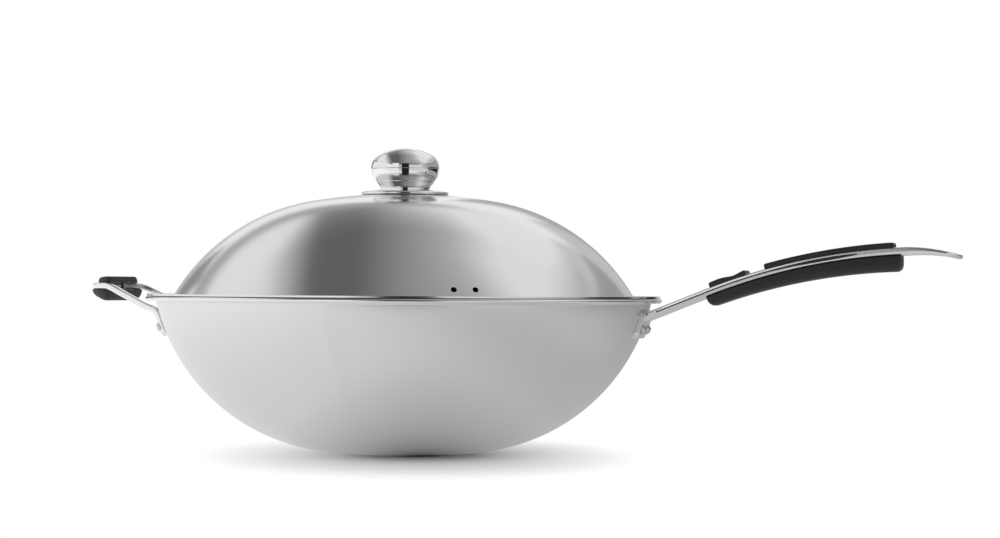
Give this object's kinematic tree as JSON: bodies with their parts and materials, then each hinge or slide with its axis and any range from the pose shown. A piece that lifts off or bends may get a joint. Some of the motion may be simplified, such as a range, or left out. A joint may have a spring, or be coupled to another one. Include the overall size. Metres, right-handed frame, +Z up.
{
  "type": "wok with a lift-off domed lid",
  "caption": "Steel wok with a flat foot, a long slotted handle, a looped helper handle and a domed lift-off lid with a mushroom knob.",
  "frame": {"origin": "middle of the bowl's flat foot, on the surface that the wok stands on", "axes": "+Z up along the bowl's axis, +X along the long handle, +Y to the left of someone who looks from the bowl out along the handle"},
  "size_m": [0.6189, 0.3612, 0.2134],
  "materials": {
    "bowl_steel": "satin, spun",
    "lid_steel": "polished",
    "handle_steel": "polished bar",
    "rivet_steel": "domed, satin",
    "screw_steel": "plain",
    "knob_chrome": "mirror polished",
    "grip_plastic": "fine-grained phenolic",
    "inlay_plastic": "smooth",
    "core_plastic": "moulded",
    "insert_brass": "turned",
    "gasket_rubber": "soft"
  },
  "bodies": {
    "wok": {"wok_bowl": "bowl_steel", "handle_bracket": "handle_steel", "handle_rivets": "rivet_steel", "long_handle_frame": "handle_steel", "rail_inlays": "inlay_plastic", "thumb_pad": "grip_plastic", "upper_grip": "grip_plastic", "lower_grip": "grip_plastic", "grip_screws": "screw_steel", "helper_handle_frame": "handle_steel", "helper_rivets": "rivet_steel", "helper_upper_pad": "grip_plastic", "helper_lower_pad": "grip_plastic", "helper_screws": "screw_steel"},
    "lid": {"lid_dome": "lid_steel", "lid_gasket": "gasket_rubber", "knob_washer": "screw_steel", "knob_lock_washer": "screw_steel", "knob_screw": "screw_steel", "knob_rosette": "knob_chrome", "knob_cup": "knob_chrome", "knob_core": "core_plastic", "knob_insert": "insert_brass", "knob_cap": "knob_chrome"}
  },
  "joints": [
    {"name": "lid_lift", "type": "slide", "parent": "wok", "child": "lid", "axis": [0, 0, 1], "range_m": [0, 0.15]}
  ]
}
